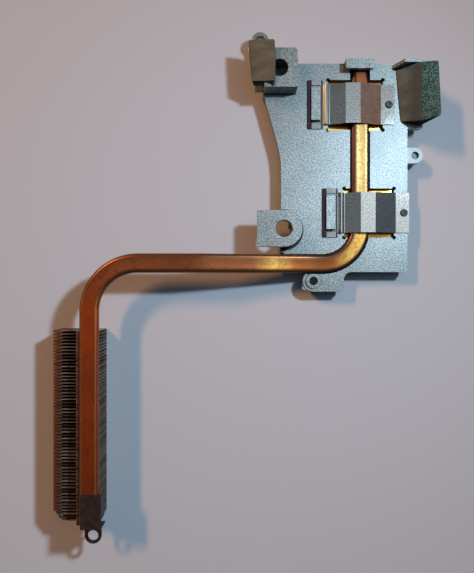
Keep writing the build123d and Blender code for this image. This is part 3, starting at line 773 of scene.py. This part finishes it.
def pipe_stations(pipe):
    """Places along the pipe: point, direction across it, and the section's width and thickness there."""
    half = pipe.width / 2
    lane_x = PIPE_HIGH.x - half
    fin_x = PIPE_LOW.x + half
    low_z = PIPE_LOW.z + pipe.thickness / 2
    high_z = PIPE_HIGH.z - pipe.thickness / 2
    tip_y, far_y = PIPE_HIGH.y, PIPE_LOW.y
    lane_start = tip_y - pipe.pinch - pipe.taper
    lane_end = pipe.cross_y + pipe.tip_elbow
    cross_start = lane_x - pipe.tip_elbow
    cross_end = fin_x + pipe.fin_elbow
    climb_x = cross_start - pipe.rise_setback
    fin_start = pipe.cross_y - pipe.fin_elbow
    east, south = Vector((1, 0, 0)), Vector((0, -1, 0))
    stations = []

    def add(x, y, z, across, width=pipe.width, thickness=pipe.thickness):
        stations.append((Vector((x, y, z)), across, width, thickness))

    def run(start, end):
        rings = max(FEWEST_RINGS, round(abs(end - start) / pipe.station_gap))
        return [start + (end - start) * step / rings for step in range(rings)]

    def bend(x, y, z, radius, first, last):
        for step in range(pipe.bend_cuts):
            angle = first + (last - first) * step / pipe.bend_cuts
            out = Vector((math.cos(angle), math.sin(angle), 0))
            add(x + radius * out.x, y + radius * out.y, z, out if first > last else -out)

    for step, share in enumerate(TIP_SHARES):
        y = tip_y - step * pipe.tip_round
        add(lane_x, y, low_z, east, share * pipe.tip_width, share * pipe.tip_thickness)
    add(lane_x, tip_y - pipe.pinch, low_z, east, pipe.tip_width, pipe.tip_thickness)
    for y in run(lane_start, lane_end):
        add(lane_x, y, low_z, east)
    bend(cross_start, lane_end, low_z, pipe.tip_elbow, 0.0, -math.pi / 2)
    for x in run(cross_start, cross_end):
        add(x, pipe.cross_y, low_z + climb_height(pipe, climb_x - x), south)
    bend(cross_end, fin_start, high_z, pipe.fin_elbow, math.pi / 2, math.pi)
    for y in run(fin_start, far_y):
        add(fin_x, y, high_z, east)
    for step, share in reversed(list(enumerate(FAR_SHARES))):
        y = far_y + step * pipe.tip_round
        add(fin_x, y, high_z, east, share * pipe.width, share * pipe.thickness)
    return stations


def pipe_mesh(pipe):
    """The pipe's skin, with coordinates along and round it for its streaks."""
    mesh = bpy.data.meshes.new("heat_pipe_skin")
    skin = bmesh.new()
    uv = skin.loops.layers.uv.new("along_pipe")
    rings, reached, last = [], [], None
    for point, across, width, thickness in pipe_stations(pipe):
        section = slot_section(width, thickness, pipe.dish if width == pipe.width else 0.0)
        rings.append([skin.verts.new(point + across * u + Vector((0, 0, w))) for u, w in section])
        reached.append((reached[-1] if reached else 0.0) + ((point - last).length if last else 0.0))
        last = point
    points = len(rings[0])
    for low, high, start, end in zip(rings, rings[1:], reached, reached[1:]):
        for i in range(points):
            j = (i + 1) % points
            face = skin.faces.new((low[i], low[j], high[j], high[i]))
            face.smooth = True
            corners = ((start, i), (start, i + 1), (end, i + 1), (end, i))
            for loop, (along, step) in zip(face.loops, corners):
                loop[uv].uv = (along, 2 * pipe.width * step / points)
    for ring in (rings[0], rings[-1]):
        skin.faces.new(ring)
    bmesh.ops.recalc_face_normals(skin, faces=skin.faces)
    skin.to_mesh(mesh)
    skin.free()
    return mesh


def across_end(values):
    """The two of three values that lie across a pad's ends."""
    return [value for axis, value in enumerate(values) if axis != END_AXIS]


def soft_point(raw, half, opening, gaskets):
    """Where a point of a plain cube goes in a soft block with round edges, crowned sides and sunk ends."""
    point = Vector([value * size for value, size in zip(raw, half)])
    core = [size - gaskets.edge_round for size in half]
    inner = Vector([max(-size, min(size, value)) for value, size in zip(point, core)])
    proud = point - inner
    if proud.length > 0:
        point = inner + proud.normalized() * gaskets.edge_round
    for axis, value in enumerate(raw):
        if axis == UP_AXIS and value < 0:
            continue
        first, second = [other for i, other in enumerate(raw) if i != axis]
        to_edge = 1 - (1 - first**2) * (1 - second**2)
        point[axis] -= math.copysign(gaskets.crown * to_edge * abs(value) ** CROWN_POWER, value)
    if abs(raw[END_AXIS]) > ON_END:
        slope = END_SLOPE * gaskets.edge_round
        depths = [(size - abs(value)) / slope for size, value in zip(across_end(opening), across_end(point))]
        sunk = max(0.0, min(1.0, *depths))
        point[END_AXIS] -= math.copysign(gaskets.end_depth * sunk, raw[END_AXIS])
    return point


def pad_mesh(name, foot, head, gaskets):
    """A soft block between four foot corners and four head corners, cloth round it and foam in its ends."""
    mesh = bpy.data.meshes.new(name)
    foot, head = [[Vector(corner) * MILLIMETRE for corner in ring] for ring in (foot, head)]
    pad = bmesh.new()
    bmesh.ops.create_cube(pad, size=2.0)
    bmesh.ops.subdivide_edges(pad, edges=pad.edges[:], cuts=gaskets.cuts, use_grid_fill=True)
    sides = (head[1] - head[0], head[3] - head[0], head[0] - foot[0])
    half = Vector([side.length / 2 for side in sides])
    opening = [size - gaskets.sleeve - gaskets.edge_round / 2 for size in half]
    for face in pad.faces:
        face.smooth = True
        middle = [abs(value) * size for value, size in zip(face.calc_center_median(), half)]
        inside = all(value < size for value, size in zip(across_end(middle), across_end(opening)))
        if abs(face.normal[END_AXIS]) > FACING:
            face.material_index = FOAM if inside else CLOTH
        elif face.normal.x < -FACING:
            face.material_index = FLANK
    for vertex in pad.verts:
        point = soft_point(vertex.co.copy(), half, opening, gaskets)
        u, v, w = [(value / size + 1) / 2 for value, size in zip(point, half)]
        low, high = [ring[0].lerp(ring[1], u).lerp(ring[3].lerp(ring[2], u), v) for ring in (foot, head)]
        vertex.co = low.lerp(high, w)
    pad.to_mesh(mesh)
    pad.free()
    return mesh


class HEATSINK_OT_base_plate(bpy.types.Operator):
    """Finish the cast carrier plate"""

    bl_idname = "heatsink.base_plate"
    bl_label = "Base Plate"
    bl_options = {"REGISTER", "UNDO"}

    def execute(self, context):
        metals = context.scene.heatsink_metals
        dress("base_plate", cast_finish(metals), metals.cast_round)
        return {"FINISHED"}


class HEATSINK_OT_heat_pipe(bpy.types.Operator):
    """Build the heat pipe's streaked copper skin"""

    bl_idname = "heatsink.heat_pipe"
    bl_label = "Heat Pipe"
    bl_options = {"REGISTER", "UNDO"}

    def execute(self, context):
        mesh = pipe_mesh(context.scene.heatsink_pipe)
        copper = pipe_finish(context.scene.heatsink_metals)
        add_piece("heat_pipe_skin", mesh, [copper], "copper_pipe", "heat_pipe")
        return {"FINISHED"}


class HEATSINK_OT_contact_blocks(bpy.types.Operator):
    """Finish the two copper contact blocks"""

    bl_idname = "heatsink.contact_blocks"
    bl_label = "Contact Blocks"
    bl_options = {"REGISTER", "UNDO"}

    def execute(self, context):
        copper = block_finish(context.scene.heatsink_metals)
        for node_name in ("elbow_block", "tip_block"):
            dress(node_name, copper)
        return {"FINISHED"}


class HEATSINK_OT_spring_clips(bpy.types.Operator):
    """Finish the two spring clips"""

    bl_idname = "heatsink.spring_clips"
    bl_label = "Spring Clips"
    bl_options = {"REGISTER", "UNDO"}

    def execute(self, context):
        metals = context.scene.heatsink_metals
        for node_name, brown_reflection in CLIP_BROWN_REFLECTION.items():
            foot_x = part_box(node_name)[0].x + metals.clip_foot
            dress(node_name, steel_finish(metals, f"{node_name}_steel", foot_x, brown_reflection))
        return {"FINISHED"}


class HEATSINK_OT_clip_rivets(bpy.types.Operator):
    """Finish the rivets of the clips"""

    bl_idname = "heatsink.clip_rivets"
    bl_label = "Clip Rivets"
    bl_options = {"REGISTER", "UNDO"}

    def execute(self, context):
        dress("clip_rivets", rivet_finish(context.scene.heatsink_metals))
        return {"FINISHED"}


class HEATSINK_OT_fin_stack(bpy.types.Operator):
    """Finish the folded fins"""

    bl_idname = "heatsink.fin_stack"
    bl_label = "Fin Stack"
    bl_options = {"REGISTER", "UNDO"}

    def execute(self, context):
        dress("fin_stack", fin_finish(context.scene.heatsink_metals))
        return {"FINISHED"}


class HEATSINK_OT_end_bracket(bpy.types.Operator):
    """Finish the end bracket"""

    bl_idname = "heatsink.end_bracket"
    bl_label = "End Bracket"
    bl_options = {"REGISTER", "UNDO"}

    def execute(self, context):
        metals = context.scene.heatsink_metals
        dress("end_bracket", bracket_finish(metals), metals.bracket_round)
        return {"FINISHED"}


class HEATSINK_OT_left_gasket(bpy.types.Operator):
    """Build the woven gasket on the ear"""

    bl_idname = "heatsink.left_gasket"
    bl_label = "Left Gasket"
    bl_options = {"REGISTER", "UNDO"}

    def execute(self, context):
        gaskets = context.scene.heatsink_gaskets
        mesh = pad_mesh("left_gasket_pad", LEFT_PAD_FOOT, LEFT_PAD_HEAD, gaskets)
        cloth = cloth_finish(
            gaskets, "left_gasket_cloth", gaskets.left_light, gaskets.left_dark, gaskets.left_lift
        )
        materials = [cloth, cloth, foam_finish(gaskets)]
        pad = add_piece("left_gasket_pad", mesh, materials, "left_gasket_cloth", "left_gasket")
        return {"FINISHED"}


class HEATSINK_OT_right_gasket(bpy.types.Operator):
    """Build the knitted gasket on the ledge"""

    bl_idname = "heatsink.right_gasket"
    bl_label = "Right Gasket"
    bl_options = {"REGISTER", "UNDO"}

    def execute(self, context):
        gaskets = context.scene.heatsink_gaskets
        mesh = pad_mesh("right_gasket_pad", RIGHT_PAD_FOOT, RIGHT_PAD_HEAD, gaskets)
        knit = knit_finish(gaskets)
        flank = cloth_finish(
            gaskets,
            "right_gasket_flank",
            gaskets.side_light,
            gaskets.side_dark,
            gaskets.side_lift,
            shade_x=FLANK_SHADE_X,
        )
        materials = [knit, flank, foam_finish(gaskets)]
        pad = add_piece("right_gasket_pad", mesh, materials, "right_gasket_cloth", "right_gasket")
        return {"FINISHED"}


def add_floor(stage):
    """The wide floor."""
    reach = stage.floor_reach
    corners = [(-reach, -reach, 0), (reach, -reach, 0), (reach, reach, 0), (-reach, reach, 0)]
    mesh = bpy.data.meshes.new("floor")
    mesh.from_pydata(corners, [], [(0, 1, 2, 3)])
    finish = Finish("floor_card", roughness=0.85)
    mesh.materials.append(finish.paint((*stage.floor_colour, 1.0)))
    floor = bpy.data.objects.new("floor", mesh)
    bpy.context.scene.collection.objects.link(floor)


def add_lamp(name, spot, target, width, watts, tint, even=False, long_side=None):
    """A soft lamp that faces a point, square without a long side; an even one is no dimmer farther away."""
    data = bpy.data.lights.new(name, "AREA")
    data.shape = "RECTANGLE"
    data.size = width
    data.size_y = long_side or width
    data.energy = watts
    data.color = tint
    if even:
        data.use_nodes = True
        tree = data.node_tree
        falloff = tree.nodes.new("ShaderNodeLightFalloff")
        falloff.inputs["Strength"].default_value = 1.0
        tree.links.new(falloff.outputs["Constant"], tree.nodes["Emission"].inputs["Strength"])
    lamp = bpy.data.objects.new(name, data)
    bpy.context.scene.collection.objects.link(lamp)
    lamp.location = spot
    lamp.rotation_mode = "QUATERNION"
    lamp.rotation_quaternion = (Vector(target) - Vector(spot)).to_track_quat("-Z", "Y")


def add_lamps(stage):
    """The warm lamp, the cool lamp and the soft screens that the metal mirrors."""
    add_lamp(
        "warm_lamp",
        stage.warm_place,
        stage.warm_target,
        stage.warm_size,
        stage.warm_power,
        stage.warm_colour,
        even=True,
        long_side=stage.warm_length,
    )
    add_lamp(
        "cool_lamp",
        stage.cool_place,
        stage.cool_target,
        stage.cool_size,
        stage.cool_power,
        stage.cool_colour,
        even=True,
    )
    for name, spot, width, watts, tint in (
        ("wide_screen", stage.wide_place, stage.wide_size, stage.wide_power, stage.glow_colour),
        ("near_screen", stage.near_place, stage.near_size, stage.near_power, stage.glow_colour),
        ("left_screen", stage.left_place, stage.left_size, stage.left_power, stage.left_colour),
    ):
        add_lamp(name, spot, Vector((spot[0], spot[1], 0)), width, watts, tint)


def add_world(stage):
    """The even light all round."""
    world = bpy.data.worlds.new("even_light")
    world.use_nodes = True
    background = world.node_tree.nodes["Background"]
    background.inputs["Color"].default_value = (*stage.world_colour, 1.0)
    background.inputs["Strength"].default_value = stage.world_strength
    bpy.context.scene.world = world
    bpy.context.scene.view_settings.view_transform = "Standard"


def add_camera(stage):
    """The camera, which looks straight down."""
    data = bpy.data.cameras.new("camera")
    # The sensor's width spans the frame's longer side, which is its height.
    data.lens = data.sensor_width * stage.focal_pixels / stage.frame_pixels
    data.clip_start = stage.camera_near
    camera = bpy.data.objects.new("camera", data)
    camera.location = stage.camera_place
    bpy.context.scene.collection.objects.link(camera)
    bpy.context.scene.camera = camera


class HEATSINK_OT_stage(bpy.types.Operator):
    """Set the floor, the lamps and the camera"""

    bl_idname = "heatsink.stage"
    bl_label = "Stage"
    bl_options = {"REGISTER", "UNDO"}

    def execute(self, context):
        for add_part in (add_floor, add_lamps, add_world, add_camera):
            add_part(context.scene.heatsink_stage)
        return {"FINISHED"}


class HEATSINK_PT_sidebar(bpy.types.Panel):
    """Lists the heat sink's steps and settings."""

    bl_idname = "HEATSINK_PT_sidebar"
    bl_label = "Heat Sink"
    bl_space_type = "VIEW_3D"
    bl_region_type = "UI"
    bl_category = "Heat Sink"

    def draw(self, context):
        for operator in OPERATORS:
            self.layout.operator(operator.bl_idname)
        for group_name, group in GROUPS.items():
            box = self.layout.box()
            for name in group.__annotations__:
                box.prop(getattr(context.scene, group_name), name)


OPERATORS = (
    HEATSINK_OT_base_plate,
    HEATSINK_OT_heat_pipe,
    HEATSINK_OT_contact_blocks,
    HEATSINK_OT_spring_clips,
    HEATSINK_OT_clip_rivets,
    HEATSINK_OT_fin_stack,
    HEATSINK_OT_end_bracket,
    HEATSINK_OT_left_gasket,
    HEATSINK_OT_right_gasket,
    HEATSINK_OT_stage,
)
GROUPS = {
    "heatsink_metals": HEATSINK_PG_metals,
    "heatsink_pipe": HEATSINK_PG_pipe,
    "heatsink_gaskets": HEATSINK_PG_gaskets,
    "heatsink_stage": HEATSINK_PG_stage,
}


def register():
    """Registers the settings, the operators and the panel."""
    for name, group in GROUPS.items():
        bpy.utils.register_class(group)
        setattr(bpy.types.Scene, name, PointerProperty(type=group))
    for operator in OPERATORS:
        bpy.utils.register_class(operator)
    bpy.utils.register_class(HEATSINK_PT_sidebar)


def unregister():
    """Undoes register()."""
    bpy.utils.unregister_class(HEATSINK_PT_sidebar)
    for operator in reversed(OPERATORS):
        bpy.utils.unregister_class(operator)
    for name, group in reversed(GROUPS.items()):
        delattr(bpy.types.Scene, name)
        bpy.utils.unregister_class(group)


def main():
    """Builds the whole scene."""
    register()
    bpy.ops.heatsink.base_plate()
    bpy.ops.heatsink.heat_pipe()
    bpy.ops.heatsink.contact_blocks()
    bpy.ops.heatsink.spring_clips()
    bpy.ops.heatsink.clip_rivets()
    bpy.ops.heatsink.fin_stack()
    bpy.ops.heatsink.end_bracket()
    bpy.ops.heatsink.left_gasket()
    bpy.ops.heatsink.right_gasket()
    bpy.ops.heatsink.stage()


if __name__ == "__main__":
    main()
